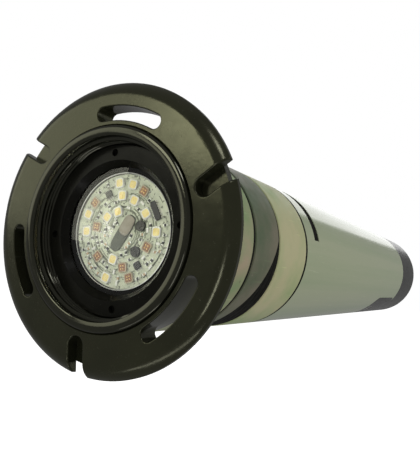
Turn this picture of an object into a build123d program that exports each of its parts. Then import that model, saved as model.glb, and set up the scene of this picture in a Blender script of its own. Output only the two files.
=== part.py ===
from build123d import *
import os
from math import atan2, cos, degrees, pi, radians, sin, sqrt

# Underwater pond light, millimetres. The light lies along +Y: its face looks towards -Y,
# +Z is up, and the origin is on the long axis in the plane of the flange's back, where the
# face meets a wall. Clock angles run from the top, clockwise as seen from the front.

# ---- driving dimensions ----
flange_r = 42.5             # flange outer radius
land_r = 39.5
pipe_r = 30.15              # every body section is flush with 2 inch pipe
pipe_bore_r = 26.25         # 3.9 mm wall
barrel_r = 27.7             # lamp barrel, inside the sections
barrel_bore_r = 25.0
sleeve_bore_r = 28.0        # turning and sliding sections clear the barrel by 0.3
lip_r = 29.4                # barrel collar that shows as the raised lip
bore_rim_r = 26.26
thread_crest_r = 25.5       # lens ring thread in the bore
thread_root_r = 26.0
ring_r = 25.42              # lens ring runs 0.08 inside the crests
fit_gap = 0.1

# stations along the light
lip_front = -7.8
face_front = -6.9
rim_front = -4.6
rim_back = -3.2             # behind the rim, a smaller land lies against the wall
lip_back = -3.5
neck_back = 30.2            # seam 1
washer_back = 31.9
wedge_top = 50.8            # seam 2, where the wedge seal shows
collar_front = 52.5
collar_back = 79.9          # seam 3
tube_front = 81.2
clip_front, clip_back = 91.4, 97.4
cap_front = 296.0
cap_back = 349.0

# lens stack
ring_front = -1.9
washer_front = 0.25
lens_front = 0.55
spacer_front = 2.05          # the lens plate rests on a black spacer ring
board_front = 2.95
led_height = 0.8
lens_back = 3.55
gasket_back = 4.55
web_back = 8.0
lens_r = 22.4
window_r = 18.9
board_r = 17.1

# screw motion
lens_thread_pitch = 1.2
drive_thread_pitch = 1.5
gland_thread_pitch = 1.5

# wedge joint: the sleeve's back edge slopes forward below the axis
wedge_slope = 0.45
wedge_axis_station = 47.2

# retaining clip
kerf_floor = 11.54          # height of the saw cut's floor above the axis
fork_inner = 19.0
fork_outer = 23.3
fork_tip = -11.0

# rear cap tongue
tongue_clock = 138.0
tongue_front = 242.0
tongue_half_width = 11.3
tongue_floor_r = 28.65
cap_screw_station = 252.0

os.makedirs("parts", exist_ok=True)


def polar(radius, clock):
    """X and Z of a point at a clock angle."""
    return radius * sin(radians(clock)), radius * cos(radians(clock))


def across(station):
    """Plane square to the long axis: local x is +X, local y is +Z, normal is -Y."""
    return Plane.XZ.offset(-station)


def radial(clock, station, radius):
    """Plane that faces outwards at a clock angle, with its local x along the light."""
    x, z = polar(1.0, clock)
    return Plane(origin=(x * radius, station, z * radius), x_dir=(0, 1, 0), z_dir=(x, 0, z))


def turn(outline, mode=Mode.ADD):
    """Turn a closed outline of (station, radius) corners about the long axis."""
    with BuildSketch(Plane.YZ) as section:
        with BuildLine():
            Polyline(*outline, close=True)
        make_face()
    revolve(section.sketch, axis=Axis.Y, mode=mode)


def ring(front, back, outer, inner=0.0, mode=Mode.ADD):
    """Plain ring or disc between two stations."""
    turn([(front, inner), (back, inner), (back, outer), (front, outer)], mode)


def thread_grooves(first, count, pitch, crest, root):
    """Annular V grooves that stand for a screw thread."""
    flat = pitch * 0.12
    for turn_number in range(count):
        middle = first + turn_number * pitch
        reach = crest + (crest - root) * 0.2
        turn([(middle - pitch * 0.4, reach), (middle - flat, root), (middle + flat, root),
              (middle + pitch * 0.4, reach)], Mode.SUBTRACT)


def block(front, back, left, right, low, high, mode=Mode.ADD):
    """Box between stations, sides and heights."""
    with BuildSketch(across(front)) as section:
        with Locations(((left + right) / 2, (low + high) / 2)):
            Rectangle(right - left, high - low)
    extrude(section.sketch, amount=-(back - front), mode=mode)


def drill(points, radius, front, back, mode=Mode.SUBTRACT):
    """Round holes or pegs along the light, at (x, z) points."""
    with BuildSketch(across(front)) as section:
        with Locations(*points):
            Circle(radius)
    extrude(section.sketch, amount=-(back - front), mode=mode)


def write(piece, name):
    """Label the piece and write its STEP file."""
    piece.part.label = name
    export_step(piece.part, f"parts/{name}.step")


# ---- face flange: rim, arc slots and spanner notches, with a spigot for the neck ----
slot_count = 3
slot_mid_r = 33.15
slot_width = 4.2
slot_arc = 32.5
notch_end_r = 34.15
notch_mouth_r = 50.0
notch_width = 5.3
notch_lean = -5.0           # degrees that the mouth leans back from the inner end
slot_edge_radius = 0.35
notch_edge_radius = 0.5
hub_back = 9.0              # the neck starts behind the flange's own hub
spigot_r = 29.0
spigot_back = 15.0


def is_notch_edge(edge):
    """Front edge of a spanner notch: clear of its floor, and not along the light."""
    middle = edge.position_at(0.5)
    return middle.Y < rim_back - 0.3 and abs(edge.tangent_at(0.5).Y) < 0.95


with BuildPart() as face_flange:
    with BuildSketch(Plane.YZ):
        with BuildLine():
            Polyline((face_front + 0.4, lip_r + 0.1), (lip_back, lip_r + 0.1),
                     (lip_back, sleeve_bore_r), (spigot_back, sleeve_bore_r),
                     (spigot_back, spigot_r), (hub_back, spigot_r), (hub_back, pipe_r),
                     (0, pipe_r), (0, land_r - 0.4),
                     (-0.4, land_r), (rim_back, land_r), (rim_back, flange_r - 0.2),
                     (rim_back - 0.2, flange_r), (rim_front, flange_r))
            TangentArc((face_front, 38.2), (rim_front, flange_r), tangent=(0, 1))
            Polyline((face_front, 38.2), (face_front, lip_r + 0.5),
                     (face_front + 0.4, lip_r + 0.1))
        make_face()
    revolve(axis=Axis.Y)
    with BuildSketch(across(face_front - 1)):
        for slot in range(slot_count):
            middle = 90 + slot * 360 / slot_count
            with BuildLine(mode=Mode.PRIVATE) as centre_line:
                CenterArc((0, 0), slot_mid_r, middle - slot_arc / 2, slot_arc)
            SlotArc(centre_line.edge(), slot_width)
    extrude(amount=-(1 - face_front) - 1, mode=Mode.SUBTRACT)
    with BuildSketch(across(face_front - 1)):
        for slot in range(slot_count):
            clock = 60 + slot * 360 / slot_count
            inner = Vector(*polar(notch_end_r, clock))
            mouth = Vector(*polar(notch_mouth_r, clock + notch_lean))
            run = mouth - inner
            with Locations((inner + mouth) / 2):
                SlotCenterToCenter(run.length, notch_width,
                                   rotation=degrees(atan2(run.Y, run.X)))
    extrude(amount=-(rim_back - face_front) - 1, mode=Mode.SUBTRACT)
    front_face = face_flange.faces().filter_by(Axis.Y).sort_by(Axis.Y)[0]
    fillet([edge for wire in front_face.inner_wires() if wire.length < 4 * lip_r
            for edge in wire.edges()], slot_edge_radius)
    notch_walls = face_flange.faces().filter_by(
        lambda face: abs(face.bounding_box().max.Y - rim_back) < 0.01
        and abs(face.normal_at().Y) < 0.01)
    fillet(notch_walls.edges().filter_by(is_notch_edge), notch_edge_radius)
write(face_flange, "face_flange")

# ---- neck, the first body section, bonded on the flange's spigot ----
with BuildPart() as neck:
    turn([(hub_back, spigot_r + 0.02), (spigot_back + 0.2, spigot_r + 0.02),
          (spigot_back + 0.2, sleeve_bore_r), (neck_back, sleeve_bore_r),
          (neck_back, pipe_r - 0.35), (neck_back - 0.35, pipe_r), (hub_back, pipe_r)])
write(neck, "neck")

# ---- thrust washer and wedge sleeve, which slide back as the flange is turned ----
with BuildPart() as thrust_washer:
    ring(neck_back, washer_back, pipe_r - 0.3, sleeve_bore_r)
write(thrust_washer, "thrust_washer")


def wedge_space(mode):
    """Everything behind the sleeve's back edge: square above the axis, sloping below it."""
    knee = (wedge_top - wedge_axis_station) / wedge_slope
    foot = wedge_axis_station - wedge_slope * flange_r
    with BuildSketch(Plane.YZ) as side:
        with BuildLine():
            Polyline((wedge_top, flange_r), (wedge_top, knee), (foot, -flange_r),
                     (collar_back, -flange_r), (collar_back, flange_r), close=True)
        make_face()
    extrude(side.sketch, amount=flange_r, both=True, mode=mode)


with BuildPart() as wedge_sleeve:
    turn([(washer_back, sleeve_bore_r), (collar_front, sleeve_bore_r), (collar_front, pipe_r),
          (washer_back + 0.35, pipe_r), (washer_back, pipe_r - 0.35)])
    wedge_space(Mode.SUBTRACT)
write(wedge_sleeve, "wedge_sleeve")

with BuildPart() as wedge_seal:
    ring(washer_back, collar_front, pipe_r - 0.25, barrel_r + 0.05)
    wedge_space(Mode.INTERSECT)
write(wedge_seal, "wedge_seal")

# ---- lamp barrel ----
screw_circle_r = 21.8
sink_screw_spots = [polar(screw_circle_r, clock) for clock in (45, 135, 225, 315)]

with BuildPart() as lamp_barrel:
    turn([(lip_front, bore_rim_r + 0.5), (lip_front + 0.5, bore_rim_r),
          (lip_front + 1.9, bore_rim_r), (lip_front + 2.3, thread_crest_r),
          (gasket_back, thread_crest_r), (gasket_back, 18.2), (web_back, 18.2),
          (web_back, barrel_bore_r), (collar_back, barrel_bore_r), (collar_back, barrel_r),
          (lip_back, barrel_r), (lip_back, lip_r), (lip_front + 0.7, lip_r),
          (lip_front + 0.2, lip_r - 0.25), (lip_front, lip_r - 0.8)])
    thread_grooves(lip_front + 3.0, 7, lens_thread_pitch, thread_crest_r, thread_root_r)
    thread_grooves(9.0, 12, drive_thread_pitch, barrel_r, barrel_r - 0.5)
    drill(sink_screw_spots, 1.6, gasket_back + 0.9, web_back)
write(lamp_barrel, "lamp_barrel")

# ---- lens stack ----
ring_notch_clocks = [75, 165, 255, 345]

with BuildPart() as lens_ring:
    turn([(ring_front, 20.6), (washer_front, window_r), (washer_front, lens_r + 0.2),
          (lens_back - 0.5, lens_r + 0.2), (lens_back - 0.5, ring_r), (ring_front + 0.4, ring_r),
          (ring_front, ring_r - 0.4)])
    for clock in ring_notch_clocks:
        drill([polar(22.9, clock)], 1.1, ring_front, ring_front + 1.4)
write(lens_ring, "lens_ring")

with BuildPart() as slip_washer:
    ring(washer_front, lens_front, lens_r, window_r + 0.3)
write(slip_washer, "slip_washer")

with BuildPart() as lens:
    turn([(lens_front, 0), (spacer_front, 0), (spacer_front, lens_r), (lens_front + 0.3, lens_r),
          (lens_front, lens_r - 0.3)])
write(lens, "lens")

with BuildPart() as spacer_ring:
    turn([(spacer_front, board_r + 0.5), (board_front, board_r + 0.2), (lens_back, board_r + 0.2),
          (lens_back, lens_r), (spacer_front, lens_r)])
write(spacer_ring, "spacer_ring")

with BuildPart() as lens_gasket:
    ring(lens_back, gasket_back, lens_r, 19.0)
write(lens_gasket, "lens_gasket")

# ---- light source ----
package = 3.2               # side of a light emitting diode's package
white_places = [(14.2, -80), (14.6, -19), (10.7, -14.5), (14.2, 1.2), (9.9, 12), (13.4, -102),
                (7.1, -65), (6.1, -28.7), (8.8, -175), (12.5, 79.4), (14.7, -172.8), (9.9, 46.6)]
colour_places = [(13.9, -63), (13.8, 20), (9.7, -94), (11.4, -143.8), (10.8, 162),
                 (10.5, 104.4), (14.2, 153)]
chip_places = [(12.5, -38.7), (11.9, 135.5)]
board_screw_places = [(6.9, 65.4), (8.1, 126.1)]
board_screw_spots = [polar(radius, clock) for radius, clock in board_screw_places]


def packages(places, side, height):
    """Square packages on the board, each turned to face the centre."""
    with BuildSketch(across(board_front)) as seats:
        for radius, clock in places:
            with Locations(polar(radius, clock)):
                Rectangle(side, side, rotation=-clock)
    extrude(seats.sketch, amount=height)


with BuildPart() as led_board:
    ring(board_front, gasket_back, board_r)
    drill(board_screw_spots, 1.05, board_front, gasket_back)
write(led_board, "led_board")

with BuildPart() as white_leds:
    packages(white_places, package, led_height)
write(white_leds, "white_leds")

with BuildPart() as colour_leds:
    packages(colour_places, package, led_height)
write(colour_leds, "colour_leds")

with BuildPart() as regulator_chips:
    packages(chip_places, 2.6, led_height)
write(regulator_chips, "regulator_chips")

with BuildPart() as control_chip:
    with BuildSketch(across(board_front)) as body:
        with Locations((0.5, -0.5)):
            SlotOverall(12.4, 4.4, rotation=68)
    extrude(amount=led_height)
write(control_chip, "control_chip")

with BuildPart() as board_screws:
    drill(board_screw_spots, 1.6, board_front - 0.7, board_front, Mode.ADD)
    drill(board_screw_spots, 0.95, board_front - 0.2, gasket_back + 2.5, Mode.ADD)
write(board_screws, "board_screws")

with BuildPart() as thermal_pad:
    ring(gasket_back, gasket_back + 0.3, board_r - 0.1)
    drill(board_screw_spots, 1.05, gasket_back, gasket_back + 0.3)
    drill([(0, 0)], 3.0, gasket_back, gasket_back + 0.3)
write(thermal_pad, "thermal_pad")

fin_pitch = 4.8
fin_back = 40.0

with BuildPart() as heat_sink:
    for fin in range(-4, 5):
        half = fin * fin_pitch
        block(web_back + 3, fin_back, half - 0.8, half + 0.8, -24, 24)
    ring(web_back, fin_back, 23.4, mode=Mode.INTERSECT)
    ring(web_back, web_back + 3.5, 24.4)
    ring(gasket_back + 0.3, web_back, 17.4)
    drill([(0, 0)], 3.0, gasket_back, fin_back)
    drill(sink_screw_spots, 3.6, web_back + 3.5, fin_back)
    drill(sink_screw_spots, 1.6, web_back, web_back + 3.5)
    drill(board_screw_spots, 1.05, gasket_back, gasket_back + 3.0)
write(heat_sink, "heat_sink")

with BuildPart() as sink_screws:
    drill(sink_screw_spots, 1.5, gasket_back + 1.0, web_back + 4, Mode.ADD)
    drill(sink_screw_spots, 2.75, web_back + 3.5, web_back + 6.0, Mode.ADD)
    for x, z in sink_screw_spots:
        with BuildSketch(across(web_back + 4.7)):
            with Locations((x, z)):
                RegularPolygon(1.4, 6)
        extrude(amount=-2, mode=Mode.SUBTRACT)
write(sink_screws, "sink_screws")

# ---- coupling collar, gasket and body tube ----
with BuildPart() as coupling_collar:
    turn([(collar_front, barrel_r + 0.05), (collar_back, barrel_r + 0.05),
          (collar_back, pipe_r - 0.35), (collar_back - 0.35, pipe_r),
          (collar_front + 0.35, pipe_r), (collar_front, pipe_r - 0.35)])
write(coupling_collar, "coupling_collar")

with BuildPart() as collar_gasket:
    ring(collar_back, tube_front, pipe_r - 0.3, barrel_bore_r + 0.1)
write(collar_gasket, "collar_gasket")


def tongue_outline(half_width, front, mode):
    """Round-nosed strip on the tube's side, seen square to it, as a tall prism."""
    with BuildSketch(radial(tongue_clock, front, 0)) as outline:
        with Locations(((cap_front + 2 - front) / 2, 0)):
            RectangleRounded(cap_front + 2 - front, 2 * half_width, 8)
    extrude(outline.sketch, amount=flange_r, mode=mode)


with BuildPart() as tongue_recess:
    ring(tongue_front - 1, cap_front, pipe_r + 1, tongue_floor_r)
    tongue_outline(tongue_half_width + 0.1, tongue_front - 0.1, Mode.INTERSECT)

with BuildPart() as body_tube:
    turn([(tube_front, pipe_bore_r), (cap_front, pipe_bore_r), (cap_front, pipe_r),
          (tube_front + 0.35, pipe_r), (tube_front, pipe_r - 0.35)])
    block(clip_front, clip_back, -flange_r, flange_r, kerf_floor, flange_r, Mode.SUBTRACT)
    add(tongue_recess.part, mode=Mode.SUBTRACT)
    with BuildSketch(radial(tongue_clock, cap_screw_station, 0)):
        Circle(1.75)
    extrude(amount=flange_r, mode=Mode.SUBTRACT)
write(body_tube, "body_tube")

# ---- barrel plug, its O-rings and the retaining clip ----
plug_front = 70.0
plug_step = tube_front
plug_back = 106.0
o_ring_section_r = 1.0


def o_ring(station, bore_r):
    """O-ring that just meets a bore."""
    with BuildSketch(Plane.YZ) as section:
        with Locations((station, bore_r - o_ring_section_r - 0.02)):
            Circle(o_ring_section_r)
    revolve(section.sketch, axis=Axis.Y)


with BuildPart() as barrel_plug:
    turn([(plug_front, 21.0), (plug_front, barrel_bore_r - fit_gap),
          (plug_step, barrel_bore_r - fit_gap), (plug_step, pipe_bore_r - 0.3),
          (plug_back, pipe_bore_r - 0.3), (plug_back, 6.0), (plug_front + 9, 6.0),
          (plug_front + 9, 21.0)])
    ring(73.8, 76.2, barrel_bore_r, barrel_bore_r - 2.1, Mode.SUBTRACT)
    ring(100.8, 103.2, pipe_bore_r, pipe_bore_r - 2.1, Mode.SUBTRACT)
    for side in (-1, 1):
        near, far = sorted((side * (fork_inner - 0.1), side * pipe_bore_r))
        block(clip_front, clip_back, near, far, fork_tip - 0.3, pipe_bore_r, Mode.SUBTRACT)
    block(clip_front, clip_back, -pipe_bore_r, pipe_bore_r, fork_inner - 0.1, pipe_bore_r,
          Mode.SUBTRACT)
write(barrel_plug, "barrel_plug")

with BuildPart() as plug_o_rings:
    o_ring(75.0, barrel_bore_r)
    o_ring(102.0, pipe_bore_r)
write(plug_o_rings, "plug_o_rings")

with BuildPart() as retaining_clip:
    ring(clip_front + fit_gap, clip_back - fit_gap, pipe_r - 0.25)
    block(clip_front, clip_back, -flange_r, flange_r, -flange_r, kerf_floor + 0.06, Mode.SUBTRACT)
    for side in (-1, 1):
        near, far = sorted((side * fork_inner, side * fork_outer))
        block(clip_front + fit_gap, clip_back - fit_gap, near, far, fork_tip, kerf_floor + 1)
    block(clip_front, clip_back, -fork_inner, fork_inner, fork_tip, fork_inner, Mode.SUBTRACT)
    block(clip_front + fit_gap, clip_front + 1.4, -5, 5, pipe_r - 1.7, pipe_r, Mode.SUBTRACT)
write(retaining_clip, "retaining_clip")

# ---- driver electronics in the tube ----
pcb_top = -6.0
pcb_thickness = 1.6
pcb_half_width = 19.0
carrier_stations = [110.0, 228.0]
carrier_thickness = 3.0

with BuildPart() as board_carriers:
    for station in carrier_stations:
        ring(station, station + carrier_thickness, pipe_bore_r - 0.15)
        block(station, station + carrier_thickness, -14, 14, pcb_top + 2, 15, Mode.SUBTRACT)
        block(station, station + carrier_thickness, -pcb_half_width - 0.1, pcb_half_width + 0.1,
              pcb_top - pcb_thickness - 0.05, pcb_top + 0.05, Mode.SUBTRACT)
write(board_carriers, "board_carriers")

with BuildPart() as driver_board:
    block(107.0, 235.0, -pcb_half_width, pcb_half_width, pcb_top - pcb_thickness, pcb_top)
write(driver_board, "driver_board")


def upright(spots, radius, height):
    """Round parts that stand on the driver board, at (x, station) places."""
    with BuildSketch(Plane.XY.offset(pcb_top)) as feet:
        with Locations(*spots):
            Circle(radius)
    extrude(feet.sketch, amount=height)


def square_part(x, station, width, length, height):
    """Box-shaped part on the driver board."""
    with BuildSketch(Plane.XY.offset(pcb_top)) as foot:
        with Locations((x, station)):
            Rectangle(width, length)
    extrude(foot.sketch, amount=height)


with BuildPart() as filter_capacitors:
    upright([(-9, 146), (5, 146), (10, 206)], 5.0, 16)
    fillet(filter_capacitors.edges().filter_by(GeomType.CIRCLE).group_by(Axis.Z)[-1], 0.8)
write(filter_capacitors, "filter_capacitors")

with BuildPart() as power_inductor:
    upright([(-8, 166)], 7.0, 1.5)
    with BuildSketch(Plane.XY.offset(pcb_top + 1.5)):
        with Locations((-8, 166)):
            Circle(5.6)
    extrude(amount=6)
    with BuildSketch(Plane.XY.offset(pcb_top + 7.5)):
        with Locations((-8, 166)):
            Circle(7.0)
    extrude(amount=1.5)
write(power_inductor, "power_inductor")

with BuildPart() as transformer:
    square_part(-2, 188, 22, 20, 4)
    square_part(-2, 188, 16, 14, 13)
    square_part(-2, 188, 22, 9, 15)
write(transformer, "transformer")

with BuildPart() as bridge_rectifier:
    square_part(-11, 208, 8, 8, 4)
write(bridge_rectifier, "bridge_rectifier")

with BuildPart() as driver_chips:
    for x, station in ((10, 164), (10, 174), (-10, 126), (12, 188)):
        square_part(x, station, 5, 5, 1.6)
write(driver_chips, "driver_chips")

terminal_station = 220.0
pole_spots = [(-3.5, terminal_station), (3.5, terminal_station)]

with BuildPart() as terminal_block:
    square_part(0, terminal_station, 15, 9, 11)
    with BuildSketch(Plane.XY.offset(pcb_top + 6)):
        with Locations(*pole_spots):
            Circle(2.1)
    extrude(amount=5, mode=Mode.SUBTRACT)
    drill([(x, pcb_top + 3) for x, station in pole_spots], 1.3, terminal_station,
          terminal_station + 5)
write(terminal_block, "terminal_block")

with BuildPart() as terminal_screws:
    with BuildSketch(Plane.XY.offset(pcb_top + 6)):
        with Locations(*pole_spots):
            Circle(1.9)
    extrude(amount=4)
    for x, station in pole_spots:
        with BuildSketch(Plane.XY.offset(pcb_top + 9.2)):
            with Locations((x, station)):
                Rectangle(4, 0.6)
        extrude(amount=1, mode=Mode.SUBTRACT)
write(terminal_screws, "terminal_screws")

# ---- lead wires from the driver board to the light board ----
wire_r = 0.7
wire_end = pcb_top + wire_r + 0.05

with BuildPart() as lead_wires:
    for x in (-1.2, 1.2):
        with BuildLine() as route:
            FilletPolyline((x, gasket_back + 0.4, 0), (x, 116, 0), (x * 2, 122, wire_end),
                           (x * 2, 130, wire_end), radius=3)
        with BuildSketch(Plane(origin=route.line @ 0, z_dir=route.line % 0)):
            Circle(wire_r)
        sweep()
write(lead_wires, "lead_wires")

# ---- rear cap ----
skirt_front = 276.0
cap_wall = 6.0
gland_hole_r = 10.1
cap_corner = 5.0

with BuildPart() as tongue:
    ring(tongue_front, cap_front + 1, pipe_r, tongue_floor_r + 0.05)
    tongue_outline(tongue_half_width, tongue_front, Mode.INTERSECT)

with BuildPart() as rear_cap:
    with BuildSketch(Plane.YZ):
        with BuildLine():
            Polyline((cap_back, pipe_r - cap_corner), (cap_back, gland_hole_r),
                     (cap_back - cap_wall, gland_hole_r), (cap_back - cap_wall, 22.0),
                     (skirt_front, 22.0), (skirt_front, pipe_bore_r - fit_gap),
                     (cap_front, pipe_bore_r - fit_gap), (cap_front, pipe_r),
                     (cap_back - cap_corner, pipe_r))
            RadiusArc((cap_back - cap_corner, pipe_r), (cap_back, pipe_r - cap_corner),
                      cap_corner)
        make_face()
    revolve(axis=Axis.Y)
    ring(283.8, 286.2, pipe_bore_r, pipe_bore_r - 2.1, Mode.SUBTRACT)
    add(tongue.part)
    with BuildSketch(radial(tongue_clock, cap_screw_station, 0)):
        Circle(1.85)
    extrude(amount=flange_r, mode=Mode.SUBTRACT)
    with BuildSketch(radial(tongue_clock, cap_screw_station, pipe_r - 0.95)):
        Circle(3.4)
    extrude(amount=3, mode=Mode.SUBTRACT)
write(rear_cap, "rear_cap")

with BuildPart() as cap_o_ring:
    o_ring(285.0, pipe_bore_r)
write(cap_o_ring, "cap_o_ring")

with BuildPart() as cap_screw:
    with BuildSketch(radial(tongue_clock, cap_screw_station, pipe_bore_r + 0.4)):
        Circle(1.65)
    extrude(amount=2.7)
    with BuildSketch(radial(tongue_clock, cap_screw_station, pipe_r - 0.93)):
        Circle(3.2)
    extrude(amount=0.8)
    with BuildSketch(radial(tongue_clock, cap_screw_station, pipe_r - 0.6)):
        Rectangle(5, 0.7)
        Rectangle(0.7, 5)
    extrude(amount=1, mode=Mode.SUBTRACT)
write(cap_screw, "cap_screw")

# ---- cord gland, open because the cord is left out ----
gland_thread_r = 9.8
gland_bore_r = 6.4
cord_r = 4.0
gland_flange_back = cap_back + 5.0
gland_mouth = gland_flange_back + 8.0
seal_back = gland_mouth + 3.5
nut_back = seal_back + 6.0


def hexagon(front, back, across_flats, hole_r, mode=Mode.ADD):
    """Hexagonal collar with a round hole."""
    with BuildSketch(across(front)) as outline:
        RegularPolygon(across_flats / 2, 6, major_radius=False)
        Circle(hole_r, mode=Mode.SUBTRACT)
    extrude(outline.sketch, amount=-(back - front), mode=mode)


with BuildPart() as gland_body:
    ring(cap_back - cap_wall - 5.5, cap_back, gland_hole_r - fit_gap, gland_bore_r)
    hexagon(cap_back, gland_flange_back, 27, gland_bore_r)
    ring(gland_flange_back, gland_mouth, gland_thread_r, gland_bore_r)
    thread_grooves(gland_flange_back + 1.5, 4, gland_thread_pitch, gland_thread_r,
                   gland_thread_r - 0.6)
write(gland_body, "gland_body")

with BuildPart() as gland_lock_nut:
    hexagon(cap_back - cap_wall - 5, cap_back - cap_wall, 27, gland_hole_r)
write(gland_lock_nut, "gland_lock_nut")

with BuildPart() as gland_seal:
    ring(gland_flange_back + 1, seal_back, gland_bore_r - fit_gap, cord_r)
write(gland_seal, "gland_seal")

with BuildPart() as gland_thrust_ring:
    ring(seal_back, seal_back + 1.2, 8.5, cord_r + 0.8)
write(gland_thrust_ring, "gland_thrust_ring")

with BuildPart() as gland_nut:
    hexagon(gland_flange_back + 0.8, nut_back - 3, 25, gland_thread_r + fit_gap)
    ring(nut_back - 4, nut_back, 11.4, cord_r + 1.6)
    ring(seal_back + 1.2, nut_back - 3, 11.4, cord_r + 1.6)
    ring(gland_mouth, seal_back + 1.2, 11.4, 8.9)
    chamfer(gland_nut.edges().filter_by(GeomType.CIRCLE).group_by(Axis.Y)[-1].sort_by(
        SortBy.RADIUS)[-1], 1.5)
write(gland_nut, "gland_nut")

wire_length = (116 - gasket_back - 0.4) + sqrt(6 ** 2 + wire_end ** 2) + 8
print("one wire:", round(lead_wires.part.volume / 2, 1), "mm3 against",
      round(pi * wire_r ** 2 * wire_length, 1))
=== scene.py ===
"""Looks of the underwater pond light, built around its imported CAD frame."""
import random
from math import atan2, cos, degrees, radians, sin, tau

import bmesh
import bpy
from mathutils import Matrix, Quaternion, Vector


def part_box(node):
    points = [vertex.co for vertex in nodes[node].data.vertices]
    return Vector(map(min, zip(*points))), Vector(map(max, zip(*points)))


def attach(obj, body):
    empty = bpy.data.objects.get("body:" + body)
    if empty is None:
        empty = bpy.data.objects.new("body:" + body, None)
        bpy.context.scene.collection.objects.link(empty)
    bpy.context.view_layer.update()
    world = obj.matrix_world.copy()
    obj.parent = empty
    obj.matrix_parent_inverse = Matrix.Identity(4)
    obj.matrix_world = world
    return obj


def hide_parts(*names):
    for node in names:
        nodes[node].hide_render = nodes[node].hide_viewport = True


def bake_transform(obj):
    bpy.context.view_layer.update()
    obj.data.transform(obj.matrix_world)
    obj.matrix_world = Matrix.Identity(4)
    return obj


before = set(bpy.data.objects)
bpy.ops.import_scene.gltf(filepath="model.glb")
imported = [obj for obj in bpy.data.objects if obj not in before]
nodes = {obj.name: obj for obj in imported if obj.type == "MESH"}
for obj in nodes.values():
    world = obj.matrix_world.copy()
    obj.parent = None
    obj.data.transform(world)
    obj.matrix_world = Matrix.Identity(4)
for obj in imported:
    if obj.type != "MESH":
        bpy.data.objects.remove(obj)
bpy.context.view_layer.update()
MM = 0.001


# ---- camera ----
def set_camera():
    """Looks at the lit face from slightly right of it, rolled, from close by."""
    azimuth, elevation, roll = radians(29.61), radians(0.84), radians(13.29)
    back = Vector((sin(azimuth) * cos(elevation), -cos(azimuth) * cos(elevation),
                   sin(elevation)))
    data = bpy.data.cameras.new("camera")
    data.lens = 42.08
    data.sensor_width = 36.0
    data.clip_start, data.clip_end = 0.01, 20.0
    camera = bpy.data.objects.new("camera", data)
    camera.location = (0.10206, -0.1258, 0.00768)
    camera.rotation_mode = "QUATERNION"
    camera.rotation_quaternion = ((-back).to_track_quat("-Z", "Y")
                                  @ Quaternion((0, 0, 1), roll))
    bpy.context.scene.collection.objects.link(camera)
    bpy.context.scene.camera = camera


# ---- studio ----
STUDIO_LIGHT = 0.24         # strength of the surroundings, which the camera sees as white
WARM, SLIGHTLY_WARM = (1.0, 1.0, 0.8), (1.0, 1.0, 0.9)


def softbox(name, toward, distance, width, height, power, colour=(1, 1, 1)):
    """Area light in a direction from the object, facing it, not seen by the camera."""
    data = bpy.data.lights.new(name, "AREA")
    data.shape = "RECTANGLE"
    data.size, data.size_y = width, height
    data.energy = power
    data.color = colour
    lamp = bpy.data.objects.new(name, data)
    target = Vector((0, 0.1, 0))
    lamp.location = target + Vector(toward).normalized() * distance
    lamp.rotation_mode = "QUATERNION"
    lamp.rotation_quaternion = (target - lamp.location).to_track_quat("-Z", "Y")
    lamp.visible_camera = False
    bpy.context.scene.collection.objects.link(lamp)


def set_studio():
    """White to the camera and soft grey to the light, with a pale floor and softboxes."""
    world = bpy.data.worlds.new("studio")
    bpy.context.scene.world = world
    world.use_nodes = True
    tree = world.node_tree
    seen = tree.nodes.new("ShaderNodeLightPath")
    backdrop = tree.nodes.new("ShaderNodeMath")
    backdrop.operation = "MAXIMUM"
    backdrop.inputs[0].default_value = STUDIO_LIGHT
    tree.links.new(seen.outputs["Is Camera Ray"], backdrop.inputs[1])
    tree.links.new(backdrop.outputs[0], tree.nodes["Background"].inputs["Strength"])
    tree.nodes["Background"].inputs["Color"].default_value = (1, 1, 1, 1)

    reach, rows, depth = 8.0, 16, -0.5
    floor = bpy.data.meshes.new("floor")
    points = [(reach * (2 * i / rows - 1), reach * (2 * j / rows - 1), depth)
              for i in range(rows + 1) for j in range(rows + 1)]
    faces = [(i * (rows + 1) + j, (i + 1) * (rows + 1) + j, (i + 1) * (rows + 1) + j + 1,
              i * (rows + 1) + j + 1) for i in range(rows) for j in range(rows)]
    floor.from_pydata(points, [], faces)
    ground = bpy.data.objects.new("floor", floor)
    bpy.context.scene.collection.objects.link(ground)
    paper = finish("floor_paper", (0.78, 0.78, 0.77), (0.82, 0.82, 0.81), patch=3,
                   roughness=(0.8, 0.9), grain=(300, 0.05, 0.0003), Emission_Strength=0.9,
                   Emission_Color=(1, 1, 1, 1))
    floor.materials.append(paper)
    ground.visible_glossy = False
    ground.visible_diffuse = False

    softbox("left_box", (-0.784, -0.612, 0.115), 1.5, 0.8, 0.6, 2.3, WARM)
    softbox("front_box", (-0.474, -0.856, 0.208), 1.5, 0.34, 0.30, 1.6, WARM)
    softbox("bore_box", (0.235, -0.941, -0.242), 1.5, 0.2, 0.5, 1.9)
    softbox("low_strip", (0.2, -0.75, -0.8), 0.56, 0.5, 0.05, 0.22)
    softbox("key_box", (0.24, -0.57, 0.76), 1.5, 0.32, 0.32, 2.2)
    softbox("right_box", (0.913, 0.365, 0.25), 1.5, 1.0, 0.8, 7.5, SLIGHTLY_WARM)
    softbox("backdrop_box", (-0.31, 0.951, 0.17), 2.5, 1.43, 1.30, 6.5)
    bpy.context.scene.view_settings.view_transform = "Standard"


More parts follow.
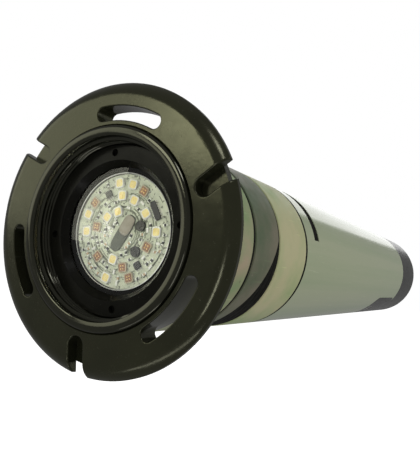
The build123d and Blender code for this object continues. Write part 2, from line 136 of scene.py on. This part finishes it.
# ---- materials ----
def finish(name, colour, second, patch=40, roughness=(0.3, 0.4), grain=(900, 0.1, 0.0001),
           stretch=(1, 1, 1), scratches=0.0, specks=None, **sockets):
    """Material with patchy colour and roughness, fine relief, and optional scratches and specks.

    grain is the relief's scale per metre, strength and depth; specks is a colour, scale and share.
    """
    material = bpy.data.materials.new(name)
    material.use_nodes = True
    tree = material.node_tree
    shader = tree.nodes["Principled BSDF"]
    place = tree.nodes.new("ShaderNodeTexCoord")
    scaled = tree.nodes.new("ShaderNodeMapping")
    scaled.inputs["Scale"].default_value = stretch
    tree.links.new(place.outputs["Object"], scaled.inputs["Vector"])

    def noise(scale, detail=4.0, source=scaled):
        cloud = tree.nodes.new("ShaderNodeTexNoise")
        cloud.inputs["Scale"].default_value = scale
        cloud.inputs["Detail"].default_value = detail
        tree.links.new(source.outputs["Vector"], cloud.inputs["Vector"])
        return cloud.outputs["Fac"]

    def remap(value, low, high, to_low, to_high):
        spread = tree.nodes.new("ShaderNodeMapRange")
        for socket, number in zip(("From Min", "From Max", "To Min", "To Max"),
                                  (low, high, to_low, to_high)):
            spread.inputs[socket].default_value = number
        tree.links.new(value, spread.inputs["Value"])
        return spread.outputs["Result"]

    def mix(amount, first, other):
        blended = tree.nodes.new("ShaderNodeMix")
        blended.data_type = "RGBA"
        tree.links.new(amount, blended.inputs["Factor"])
        for socket, paint in ((blended.inputs["A"], first), (blended.inputs["B"], other)):
            if isinstance(paint, tuple):
                socket.default_value = (*paint, 1)
            else:
                tree.links.new(paint, socket)
        return blended.outputs["Result"]

    cloud = noise(patch)
    tint = mix(remap(cloud, 0.35, 0.65, 0, 1), colour, second)
    rough = remap(noise(patch * 5), 0.3, 0.7, roughness[0], roughness[1])
    if specks:
        tone, scale, share = specks
        tint = mix(remap(noise(scale, 2), 1 - share, 1 - share + 0.06, 0, 1), tint, tone)
    height = noise(grain[0], 2)
    if scratches:
        slanted = tree.nodes.new("ShaderNodeMapping")
        slanted.inputs["Rotation"].default_value = (0.3, 0.5, 0.9)
        slanted.inputs["Scale"].default_value = (1, 0.05, 1)
        tree.links.new(place.outputs["Object"], slanted.inputs["Vector"])
        lines = remap(noise(1400, 1, slanted), 0.70, 0.76, 0, scratches)
        tint = mix(lines, tint, tuple(min(1, 2.2 * c + 0.03) for c in colour))
        added = tree.nodes.new("ShaderNodeMath")
        added.operation = "MULTIPLY_ADD"
        tree.links.new(lines, added.inputs[0])
        added.inputs[1].default_value = 0.25
        tree.links.new(rough, added.inputs[2])
        rough = added.outputs[0]
    relief = tree.nodes.new("ShaderNodeBump")
    relief.inputs["Strength"].default_value = grain[1]
    relief.inputs["Distance"].default_value = grain[2]
    tree.links.new(height, relief.inputs["Height"])
    tree.links.new(relief.outputs["Normal"], shader.inputs["Normal"])
    tree.links.new(tint, shader.inputs["Base Color"])
    tree.links.new(rough, shader.inputs["Roughness"])
    for socket, number in sockets.items():
        shader.inputs[socket.replace("_", " ")].default_value = number
    return material


finishes = {
    "flange_plastic": finish(
        "flange_plastic", (0.014, 0.015, 0.008), (0.020, 0.021, 0.011), patch=60,
        roughness=(0.15, 0.21), grain=(500, 0.10, 0.0002), scratches=0.3,
        Specular_IOR_Level=0.5, Specular_Tint=(1.0, 1.0, 0.7, 1)),
    "section_plastic": finish(
        "section_plastic", (0.26, 0.365, 0.17), (0.47, 0.385, 0.26), patch=60,
        roughness=(0.34, 0.46), grain=(1100, 0.12, 0.0002), scratches=0.25,
        specks=((0.17, 0.17, 0.10), 420, 0.28)),
    "sleeve_plastic": finish(
        "sleeve_plastic", (0.085, 0.125, 0.06), (0.19, 0.172, 0.118), patch=60,
        roughness=(0.34, 0.46), grain=(1100, 0.12, 0.0002), scratches=0.3,
        specks=((0.30, 0.28, 0.20), 480, 0.27)),
    "tube_plastic": finish(
        "tube_plastic", (0.39, 0.475, 0.29), (0.47, 0.52, 0.345), patch=120,
        roughness=(0.09, 0.15), grain=(700, 0.04, 0.0001), stretch=(1, 0.03, 1),
        scratches=0.12),
    "black_plastic": finish(
        "black_plastic", (0.008, 0.008, 0.006), (0.013, 0.013, 0.010), patch=80,
        roughness=(0.16, 0.26), grain=(800, 0.10, 0.0002), scratches=0.25,
        Specular_IOR_Level=0.09),
    "black_rubber": finish(
        "black_rubber", (0.008, 0.008, 0.007), (0.014, 0.014, 0.012), patch=120,
        roughness=(0.6, 0.75), grain=(2600, 0.35, 0.0002), Specular_IOR_Level=0.06,
        specks=((0.035, 0.035, 0.030), 1500, 0.30)),
    "white_plastic": finish(
        "white_plastic", (0.72, 0.71, 0.66), (0.78, 0.77, 0.73), patch=150,
        roughness=(0.35, 0.48), grain=(1800, 0.15, 0.0001)),
    "lens_glass": finish(
        "lens_glass", (0.985, 0.995, 0.97), (0.99, 1.0, 0.98), patch=60,
        roughness=(0.0, 0.012), grain=(120, 0.01, 0.0001), IOR=1.45,
        Specular_IOR_Level=0.06, Transmission_Weight=1.0),
    "white_board": finish(
        "white_board", (0.47, 0.505, 0.385), (0.62, 0.65, 0.50), patch=260,
        roughness=(0.30, 0.45), grain=(1500, 0.25, 0.0001),
        specks=((0.13, 0.14, 0.10), 1150, 0.41)),
    "white_led": finish(
        "white_led", (0.80, 0.62, 0.20), (0.86, 0.74, 0.34), patch=500,
        roughness=(0.25, 0.4), grain=(5000, 0.3, 0.00005)),
    "colour_led": finish(
        "colour_led", (0.20, 0.085, 0.035), (0.30, 0.14, 0.06), patch=500,
        roughness=(0.15, 0.3), grain=(5000, 0.3, 0.00005), Coat_Weight=0.4),
    "chip_grey": finish(
        "chip_grey", (0.030, 0.032, 0.030), (0.05, 0.052, 0.048), patch=600,
        roughness=(0.4, 0.6), grain=(6000, 0.4, 0.00004)),
    "steel": finish(
        "steel", (0.52, 0.51, 0.48), (0.60, 0.59, 0.56), patch=300,
        roughness=(0.22, 0.38), grain=(2500, 0.15, 0.00005), scratches=0.3, Metallic=1.0),
    "thermal_pad": finish(
        "thermal_pad", (0.42, 0.46, 0.50), (0.48, 0.52, 0.56), patch=150,
        roughness=(0.7, 0.85), grain=(1500, 0.3, 0.0001)),
    "aluminium": finish(
        "aluminium", (0.66, 0.67, 0.68), (0.74, 0.75, 0.76), patch=200, stretch=(1, 0.05, 1),
        roughness=(0.25, 0.42), grain=(1600, 0.15, 0.0001), scratches=0.3, Metallic=1.0),
    "green_board": finish(
        "green_board", (0.015, 0.13, 0.055), (0.025, 0.18, 0.08), patch=140,
        roughness=(0.25, 0.4), grain=(900, 0.25, 0.0001), Coat_Weight=0.3),
    "capacitor_sleeve": finish(
        "capacitor_sleeve", (0.015, 0.03, 0.10), (0.02, 0.04, 0.14), patch=150,
        roughness=(0.25, 0.35), grain=(900, 0.1, 0.0001)),
    "ferrite": finish(
        "ferrite", (0.05, 0.05, 0.052), (0.075, 0.073, 0.07), patch=300,
        roughness=(0.55, 0.75), grain=(3000, 0.4, 0.0001)),
    "terminal_green": finish(
        "terminal_green", (0.02, 0.24, 0.08), (0.03, 0.30, 0.11), patch=150,
        roughness=(0.35, 0.5), grain=(1500, 0.2, 0.0001)),
    "wire_insulation": finish(
        "wire_insulation", (0.55, 0.03, 0.02), (0.62, 0.05, 0.03), patch=200,
        roughness=(0.35, 0.5), grain=(1800, 0.15, 0.0001)),
}


def dress_frame():
    """Give every CAD node the finish of its slot in the record."""
    for node in nodes.values():
        for place in node.material_slots:
            slot_name = place.material.name.split(".")[0]
            place.link = "OBJECT"
            place.material = finishes[slot_name]
    nodes["board_screws"].material_slots[0].material = looks["dark_steel"]
    nodes["retaining_clip"].material_slots[0].material = looks["clip_black"]
    nodes["coupling_collar"].material_slots[0].material = looks["collar_plastic"]
    nodes["lens"].visible_shadow = False


# ---- mesh tools ----
class Shape:
    """Points and faces of one piece, gathered before its mesh is made."""

    def __init__(self):
        self.points = []
        self.faces = []

    def loft(self, loops, closed=False):
        """Skin a row of equal loops; closed joins the last to the first, else both ends fill."""
        first, count, rows = len(self.points), len(loops[0]), len(loops)
        for loop in loops:
            self.points.extend(loop)
        for row in range(rows if closed else rows - 1):
            near, far = first + row * count, first + (row + 1) % rows * count
            for i in range(count):
                j = (i + 1) % count
                self.faces.append((near + i, near + j, far + j, far + i))
        if not closed:
            self.faces.append(tuple(range(first, first + count)))
            self.faces.append(tuple(range(first + (rows - 1) * count, first + rows * count)))

    def piece(self, name, body, slot_name, look=None, soft_edge=35):
        """Make the mesh object, smooth below an angle, and hang it on its body."""
        mesh = bpy.data.meshes.new(name)
        mesh.from_pydata(self.points, [], self.faces)
        shell = bmesh.new()
        shell.from_mesh(mesh)
        bmesh.ops.recalc_face_normals(shell, faces=shell.faces)
        shell.to_mesh(mesh)
        shell.free()
        mesh.shade_smooth()
        mesh.set_sharp_from_angle(angle=radians(soft_edge))
        mesh.materials.append(look or finishes[slot_name])
        made = bpy.data.objects.new(name, mesh)
        bpy.context.scene.collection.objects.link(made)
        if body:
            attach(made, body)
        return made


def lathe(profile, steps, shape=None):
    """Loops of a closed (station, radius) profile turned round the axis, in millimetres.

    shape(station, radius, angle) may move a point's station and radius.
    """
    loops = []
    for step in range(steps):
        angle = tau * step / steps
        loop = []
        for station, radius in profile:
            if shape:
                station, radius = shape(station, radius, angle)
            loop.append(Vector((radius * sin(angle), station, radius * cos(angle))) * MM)
        loops.append(loop)
    return loops


def rungs(start, stop, spacing):
    """Evenly spaced stations from start to stop."""
    count = max(1, round(abs(stop - start) / spacing))
    return [start + (stop - start) * i / count for i in range(count + 1)]


def seat(radius, clock, station, turn=0.0):
    """Function from (right, out, up) millimetres at a spot on the board to a world point."""
    facing = radians(clock + turn)
    middle = Vector((radius * sin(radians(clock)), station, radius * cos(radians(clock))))
    right = Vector((cos(facing), 0, -sin(facing)))
    out = Vector((sin(facing), 0, cos(facing)))
    up = Vector((0, -1, 0))
    return lambda u, v, w: (middle + right * u + out * v + up * w) * MM


def outline(place, half_u, half_v, height, power=10.0, count=24, shift=(0, 0)):
    """Loop between an ellipse (power 2) and a square-cornered rectangle (power 10)."""
    loop = []
    for i in range(count):
        angle = tau * (i + 0.5) / count
        u, v = cos(angle), sin(angle)
        size = (abs(u) ** power + abs(v) ** power) ** (-1 / power)
        loop.append(place(shift[0] + half_u * u * size, shift[1] + half_v * v * size, height))
    return loop


def spots(node):
    """Radius and clock angle of each separate block of a CAD node on the board."""
    blocks = bmesh.new()
    blocks.from_mesh(nodes[node].data)
    bmesh.ops.remove_doubles(blocks, verts=blocks.verts, dist=1e-6)
    left, found = set(blocks.verts), []
    while left:
        edge_of_growth = {left.pop()}
        grown = set(edge_of_growth)
        while edge_of_growth:
            edge_of_growth = {edge.other_vert(vertex) for vertex in edge_of_growth
                              for edge in vertex.link_edges} - grown
            grown |= edge_of_growth
        left -= grown
        middle = sum((vertex.co for vertex in grown), Vector()) / len(grown) / MM
        found.append((Vector((middle.x, middle.z)).length,
                      degrees(atan2(middle.x, middle.z))))
    blocks.free()
    return sorted(found, key=lambda spot: round(spot[1], 1))


# ---- lamp barrel with true screw threads ----
def make_barrel():
    """Turned barrel whose bore and outside carry helical threads."""
    front, back = (corner.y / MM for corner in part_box("lamp_barrel"))
    bore_thread, drive_thread = (front + 2.7, front + 11.6), (front + 16.5, front + 34.9)
    lens_pitch, drive_pitch = 1.2, 1.5

    def thread(station, radius, angle):
        turns = angle / tau
        for (start, stop), pitch, crest, root in (
                (bore_thread, lens_pitch, 25.5, 26.0), (drive_thread, drive_pitch, 27.7, 27.2)):
            if abs(radius - crest) < 0.01 and start < station < stop:
                across = abs(2 * ((station / pitch + turns) % 1) - 1)
                fade = min(1.0, (station - start) / pitch, (stop - station) / pitch)
                depth = min(1.0, max(0.0, (across - 0.2) / 0.6))
                return station, radius + (root - crest) * depth * fade
        return station, radius

    profile = [(front, 26.76), (front + 0.15, 26.45), (front + 0.5, 26.26), (front + 1.9, 26.26),
               (front + 2.3, 25.5)]
    profile += [(station, 25.5) for station in rungs(*bore_thread, 0.12)]
    profile += [(4.55, 25.5), (4.55, 18.2), (8.0, 18.2), (8.0, 25.0), (back, 25.0), (back, 27.7)]
    profile += [(station, 27.7) for station in rungs(*reversed(drive_thread), 0.3)]
    profile += [(-3.5, 27.7), (-3.5, 29.4), (front + 0.7, 29.4), (front + 0.35, 29.32),
                (front + 0.2, 29.15), (front + 0.05, 28.9), (front, 28.6)]
    barrel = Shape()
    barrel.loft(lathe(profile, 168, thread), closed=True)
    # The barrel's look is darker than the flange's same plastic: painted shade in the bore.
    made = barrel.piece("threaded_barrel", "lamp", "flange_plastic", looks["glossy_barrel_with_painted_shade"])
    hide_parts("lamp_barrel")


# ---- wedge seal ----
def make_seal():
    """Soft ring with rounded lips and shallow grooves, narrow on top and wide below."""
    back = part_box("wedge_seal")[1].y / MM
    slope, middle, top = 0.45, 47.2, 50.8
    outer_r, inner_r = 29.9, 27.75

    def front(angle):
        return min(top, middle + slope * outer_r * cos(angle))

    steps, rows = 144, 26
    loops = []
    for step in range(steps):
        angle = tau * step / steps
        near = front(angle)
        outer, inner = [], []
        for row in range(rows + 1):
            share = row / rows
            station = near + (back - near) * share
            lip = 0.35 * (1 - min(1.0, min(station - near, back - station) / 0.5)) ** 2
            groove = 0.22 * max(0.0, cos(tau * (back - station) / 3.2)) ** 8
            if back - station < 1.2:
                groove = 0
            outer.append((station, outer_r - lip - groove))
            inner.append((station, inner_r))
        loops.append([Vector((radius * sin(angle), station, radius * cos(angle))) * MM
                      for station, radius in outer + inner[::-1]])
    seal = Shape()
    seal.loft(loops, closed=True)
    made = seal.piece("soft_wedge_seal", None, "black_rubber", soft_edge=50)
    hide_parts("wedge_seal")
    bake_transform(made)


# ---- squeezed gasket ----
def make_gasket_bead():
    """Gasket pressed out, nearly flush, between the collar's and the tube's bevelled edges."""
    near, far = (corner.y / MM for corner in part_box("collar_gasket"))
    bore, foot, crown, bevel = 25.1, 29.82, 30.13, 0.3
    profile = [(near, bore), (far, bore), (far, foot), (far + bevel, crown),
               (near - bevel, crown), (near, foot)]
    bead = Shape()
    bead.loft(lathe(profile, 160), closed=True)
    made = bead.piece("gasket_bead", "lamp", "black_rubber")
    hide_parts("collar_gasket")


# ---- light board ----
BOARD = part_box("led_board")[0].y / MM
WHITE_SIDE = 3.0            # side of a white package
CENTRE_TILT = 22.0          # how far the long centre part leans, in degrees
DRIVER_CHIP_SPOT = (13.2, 51.5)
SCREW_SPOTS = ((6.9, 65.4), (8.1, 126.1))


def make_white_packages():
    """White packages with a round well of yellow phosphor and two terminals."""
    bodies, wells, feet = Shape(), Shape(), Shape()
    half = WHITE_SIDE / 2
    for radius, clock in spots("white_leds"):
        place = seat(radius, clock, BOARD)
        bodies.loft([outline(place, half, half, 0.12), outline(place, half, half, 0.66),
                     outline(place, half - 0.08, half - 0.08, 0.74),
                     outline(place, half - 0.28, half - 0.28, 0.74, 4),
                     outline(place, half - 0.45, half - 0.45, 0.55, 4)])
        wells.loft([outline(place, half - 0.36, half - 0.36, 0.56, 4),
                    outline(place, half - 0.38, half - 0.38, 0.66, 4),
                    outline(place, half - 0.75, half - 0.75, 0.70, 3),
                    outline(place, 0.3, 0.3, 0.72, 2)])
        for end in (-1, 1):
            feet.loft([outline(place, 0.28, half * 0.62, 0.02, shift=(end * (half + 0.02), 0)),
                       outline(place, 0.28, half * 0.62, 0.16, shift=(end * (half + 0.02), 0)),
                       outline(place, 0.16, half * 0.55, 0.22, shift=(end * half, 0))])
    made = bodies.piece("white_package_bodies", "lamp", "white_plastic")
    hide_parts("white_leds")
    wells.piece("phosphor_wells", "lamp", "white_led")
    feet.piece("white_package_terminals", "lamp", "steel")


def make_colour_packages():
    """Pale packages with a square well of brown resin over four small dies."""
    bodies, wells, dies, feet = Shape(), Shape(), Shape(), Shape()
    for radius, clock in spots("colour_leds"):
        place = seat(radius, clock, BOARD)
        bodies.loft([outline(place, 1.5, 1.5, 0.12), outline(place, 1.5, 1.5, 0.66),
                     outline(place, 1.42, 1.42, 0.74), outline(place, 1.24, 1.24, 0.74, 7),
                     outline(place, 1.12, 1.12, 0.5, 7)])
        wells.loft([outline(place, 1.22, 1.22, 0.5, 7), outline(place, 1.18, 1.18, 0.66, 7),
                    outline(place, 0.8, 0.8, 0.69, 5), outline(place, 0.3, 0.3, 0.70, 2)])
        for u, v in ((-0.42, 0.42), (0.42, 0.42), (-0.42, -0.42), (0.42, -0.42)):
            dies.loft([outline(place, 0.17, 0.17, 0.60, shift=(u, v), count=12),
                       outline(place, 0.17, 0.17, 0.735, shift=(u, v), count=12),
                       outline(place, 0.12, 0.12, 0.75, shift=(u, v), count=12)])
        for end in (-1, 1):
            for v in (-0.85, 0.0, 0.85):
                feet.loft([outline(place, 0.25, 0.24, 0.02, shift=(end * 1.52, v)),
                           outline(place, 0.25, 0.24, 0.18, shift=(end * 1.52, v)),
                           outline(place, 0.14, 0.18, 0.24, shift=(end * 1.5, v))])
    made = bodies.piece("colour_package_bodies", "lamp", "white_plastic", looks["pale_package"])
    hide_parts("colour_leds")
    wells.piece("resin_wells", "lamp", "colour_led")
    dies.piece("colour_dies", "lamp", "steel", looks["gold"])
    feet.piece("colour_package_terminals", "lamp", "steel")


def make_chips():
    """Dark regulator chips, a wider driver chip and gull-wing leads."""
    bodies, leads, marks = Shape(), Shape(), Shape()
    chips = [(spot, 1.15, 1.15, 3) for spot in spots("regulator_chips")]
    chips.append((DRIVER_CHIP_SPOT, 3.0, 1.05, 7))
    for (radius, clock), half_u, half_v, pins in chips:
        place = seat(radius, clock, BOARD)
        bodies.loft([outline(place, half_u - 0.08, half_v - 0.08, 0.08),
                     outline(place, half_u, half_v, 0.38),
                     outline(place, half_u - 0.02, half_v - 0.02, 0.45),
                     outline(place, half_u - 0.12, half_v - 0.12, 0.74)])
        marks.loft([outline(place, 0.16, 0.16, 0.735, 2, 12, (0.45 - half_u, 0.4 - half_v)),
                    outline(place, 0.13, 0.13, 0.75, 2, 12, (0.45 - half_u, 0.4 - half_v))])
        spread = half_u * 2 / pins
        for pin in range(pins):
            u = (pin - (pins - 1) / 2) * spread
            for side in (-1, 1):
                run = [(half_v - 0.1, 0.42), (half_v + 0.14, 0.40), (half_v + 0.22, 0.10),
                       (half_v + 0.48, 0.06)]
                leads.loft([[place(u - spread * 0.24, side * v, w + 0.05),
                             place(u + spread * 0.24, side * v, w + 0.05),
                             place(u + spread * 0.24, side * v, w - 0.04),
                             place(u - spread * 0.24, side * v, w - 0.04)] for v, w in run])
    made = bodies.piece("chip_bodies", "lamp", "black_plastic", looks["mould_black"])
    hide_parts("regulator_chips")
    leads.piece("chip_leads", "lamp", "steel")
    marks.piece("chip_corner_dots", "lamp", "chip_grey")


def make_centre_part():
    """Long round-ended part: a dark body with a raised pale cap over its outer half, whose pale
    colour is a painted reflection.
    """
    low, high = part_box("control_chip")
    middle = (low + high) / 2 / MM
    radius = Vector((middle.x, middle.z)).length
    clock = degrees(atan2(middle.x, middle.z))
    place = seat(radius, clock, BOARD, CENTRE_TILT - clock)
    base = Shape()
    base.loft([outline(place, half_u, half_v, height, 3.2, 48)
               for half_u, half_v, height in ((2.06, 6.05, 0.04), (2.14, 6.15, 0.3),
                                              (2.06, 6.08, 0.48), (1.85, 5.8, 0.56),
                                              (0.8, 4.3, 0.60))])
    made = base.piece("centre_part", "lamp", "chip_grey", looks["dark_mask"])
    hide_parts("control_chip")
    # The cap's pale grey is a painted reflection: the outer half is shown lit lighter than the
    # dark body.
    pale_reflection_cap = Shape()
    pale_reflection_cap.loft([outline(place, half_u, half_v, height, 3.4, 48, (0, 2.75))
                for half_u, half_v, height in ((1.96, 3.1, 0.5), (1.96, 3.1, 0.68),
                                               (1.84, 2.95, 0.76), (1.0, 1.7, 0.78))])
    pale_reflection_cap.piece("centre_painted_reflection_cap", "lamp", "chip_grey", looks["painted_reflection_grey"])


def make_small_parts():
    """Resistors, capacitors, pads, vias and tracks on the light board."""
    rng = random.Random(7)
    taken = [(radius, clock, 2.2) for node in ("white_leds", "colour_leds", "regulator_chips")
             for radius, clock in spots(node)]
    taken += [(radius, clock, 1.9) for radius, clock in SCREW_SPOTS]

    def at(radius, clock):
        return Vector((radius * sin(radians(clock)), radius * cos(radians(clock))))

    def free(spot, room):
        along = max(-4.2, min(4.2, spot.dot(at(1, CENTRE_TILT))))
        off_centre_part = (spot - at(1, CENTRE_TILT) * along).length > 2.3 + room
        off_chip = not (11.2 - room < spot.length < 15.4 + room
                        and abs(degrees(atan2(spot.x, spot.y)) - DRIVER_CHIP_SPOT[1]) < 17)
        return (off_centre_part and off_chip and spot.length < 16.3 - room
                and all((spot - at(radius, clock)).length > gap + room
                        for radius, clock, gap in taken))

    ends, dark, pale, tan = Shape(), Shape(), Shape(), Shape()
    placed = 0
    for _ in range(900):
        spot = at(16 * rng.random() ** 0.6, rng.uniform(-180, 180))
        if placed >= 70 or not free(spot, 0.72):
            continue
        radius, clock = spot.length, degrees(atan2(spot.x, spot.y))
        taken.append((radius, clock, 0.75))
        placed += 1
        place = seat(radius, clock, BOARD, rng.choice((0, 90)))
        body = rng.choice((dark, dark, pale, tan))
        body.loft([outline(place, half_u, half_v, height, count=16) for half_u, half_v, height
                   in ((0.42, 0.36, 0.03), (0.42, 0.36, 0.36), (0.38, 0.32, 0.40))])
        for end in (-1, 1):
            ends.loft([outline(place, 0.16, 0.38, 0.02, count=16, shift=(end * 0.52, 0)),
                       outline(place, 0.16, 0.38, 0.38, count=16, shift=(end * 0.52, 0)),
                       outline(place, 0.13, 0.35, 0.41, count=16, shift=(end * 0.52, 0))])
    ends.piece("small_part_ends", "lamp", "steel", looks["solder"])
    dark.piece("small_resistors", "lamp", "chip_grey")
    pale.piece("small_pale_parts", "lamp", "white_plastic")
    tan.piece("small_capacitors", "lamp", "white_board", looks["ceramic_tan"])

    vias, cores = Shape(), Shape()
    for row in range(5):
        for column in range(4):
            spot = at(3.9 + 1.25 * column, -84) + at(1.3 * (row - 2), 6)
            if free(spot, -0.1) and spot.length < 16:
                place = seat(spot.length, degrees(atan2(spot.x, spot.y)), BOARD)
                vias.loft([outline(place, half, half, height, 2, 16)
                           for half, height in ((0.42, 0.0), (0.42, 0.05), (0.36, 0.07))])
                cores.loft([outline(place, half, half, height, 2, 12)
                            for half, height in ((0.2, 0.06), (0.18, 0.09))])
    vias.piece("via_rings", "lamp", "steel", looks["solder"])
    cores.piece("via_holes", "lamp", "chip_grey")

    tracks = Shape()
    for _ in range(160):
        radius, start = rng.uniform(4.5, 16.4), rng.uniform(-180, 180)
        span = rng.uniform(10, 42) * 8 / radius
        width = rng.choice((0.1, 0.14, 0.2))
        clocks = [start + span * i / 10 for i in range(11)]
        if not all(free(at(radius, clock), -1.2 if radius < 15.5 else -3) or radius > 15.9
                   for clock in clocks):
            continue
        loops = []
        for clock in clocks:
            place = seat(radius, clock, BOARD)
            loops.append([place(0, -width, 0.0), place(0, -width, 0.035), place(0, width, 0.035),
                          place(0, width, 0.0)])
        tracks.loft(loops)
    tracks.piece("copper_tracks", "lamp", "white_board", looks["track"])


def make_ring_steps():
    """Fine turned steps on the lens ring's cone, and a thin bright solder-coloured ring round the
    board that stands in for a highlight circle: painted highlight.
    """
    steps = Shape()
    for station, radius in ((-0.05, 19.35), (-0.75, 19.95), (-1.35, 20.4)):
        profile = [(station + 0.16 * sin(tau * i / 10), radius + 0.16 * cos(tau * i / 10))
                   for i in range(10)]
        steps.loft(lathe(profile, 160), closed=True)
    steps.piece("lens_ring_steps", "ring", "black_plastic")
    # Bright metal ring put where only a highlight circle shows: painted highlight.
    glint_ring = Shape()
    profile = [(2.28 + 0.12 * sin(tau * i / 8), 17.42 + 0.12 * cos(tau * i / 8))
               for i in range(8)]
    glint_ring.loft(lathe(profile, 160), closed=True)
    glint_ring.piece("painted_highlight_ring", "lamp", "steel", looks["solder"])


looks = {
    "dark_steel": finish(
        "dark_steel", (0.05, 0.05, 0.048), (0.09, 0.09, 0.085), patch=500,
        roughness=(0.25, 0.4), grain=(3000, 0.2, 0.00005), Metallic=1.0),
    "clip_black": finish(
        "clip_black", (0.006, 0.006, 0.005), (0.010, 0.010, 0.009), patch=150,
        roughness=(0.6, 0.75), grain=(2200, 0.3, 0.0001), Specular_IOR_Level=0.05),
    # Barrel look: smoother than flange_plastic for crisper glints (real), and darker than it so
    # the bore reads shaded (painted shade).
    "glossy_barrel_with_painted_shade": finish(
        "glossy_barrel_with_painted_shade", (0.008, 0.0085, 0.005), (0.013, 0.0135, 0.008), patch=60,
        roughness=(0.06, 0.11), grain=(500, 0.06, 0.0001), scratches=0.2,
        Specular_IOR_Level=0.55, Specular_Tint=(1.0, 1.0, 0.8, 1)),
    "collar_plastic": finish(
        "collar_plastic", (0.40, 0.50, 0.23), (0.60, 0.57, 0.335), patch=50,
        roughness=(0.34, 0.46), grain=(1100, 0.12, 0.0002), scratches=0.25,
        specks=((0.28, 0.28, 0.16), 380, 0.26)),
    "pale_package": finish(
        "pale_package", (0.42, 0.36, 0.24), (0.52, 0.45, 0.32), patch=500,
        roughness=(0.3, 0.45), grain=(4000, 0.2, 0.00005)),
    "gold": finish(
        "gold", (0.72, 0.52, 0.22), (0.80, 0.60, 0.30), patch=800,
        roughness=(0.2, 0.35), grain=(6000, 0.2, 0.00003), Metallic=1.0),
    "mould_black": finish(
        "mould_black", (0.012, 0.012, 0.012), (0.022, 0.022, 0.021), patch=700,
        roughness=(0.4, 0.55), grain=(7000, 0.4, 0.00004)),
    "dark_mask": finish(
        "dark_mask", (0.075, 0.082, 0.060), (0.11, 0.12, 0.09), patch=500,
        roughness=(0.3, 0.45), grain=(4000, 0.3, 0.00005)),
    # Pale grey of the centre part's outer half: a painted reflection.
    "painted_reflection_grey": finish(
        "painted_reflection_grey", (0.27, 0.245, 0.19), (0.34, 0.31, 0.25), patch=400,
        roughness=(0.35, 0.5), grain=(4000, 0.3, 0.00005)),
    "solder": finish(
        "solder", (0.72, 0.72, 0.70), (0.80, 0.80, 0.77), patch=900,
        roughness=(0.25, 0.45), grain=(7000, 0.4, 0.00004), Metallic=1.0),
    "ceramic_tan": finish(
        "ceramic_tan", (0.42, 0.30, 0.17), (0.50, 0.37, 0.23), patch=700,
        roughness=(0.4, 0.55), grain=(5000, 0.3, 0.00004)),
    "track": finish(
        "track", (0.15, 0.17, 0.115), (0.22, 0.24, 0.17), patch=600,
        roughness=(0.28, 0.4), grain=(4000, 0.3, 0.00004)),
}


set_studio()
set_camera()
dress_frame()
make_barrel()
make_seal()
make_gasket_bead()
make_white_packages()
make_colour_packages()
make_chips()
make_centre_part()
make_small_parts()
make_ring_steps()
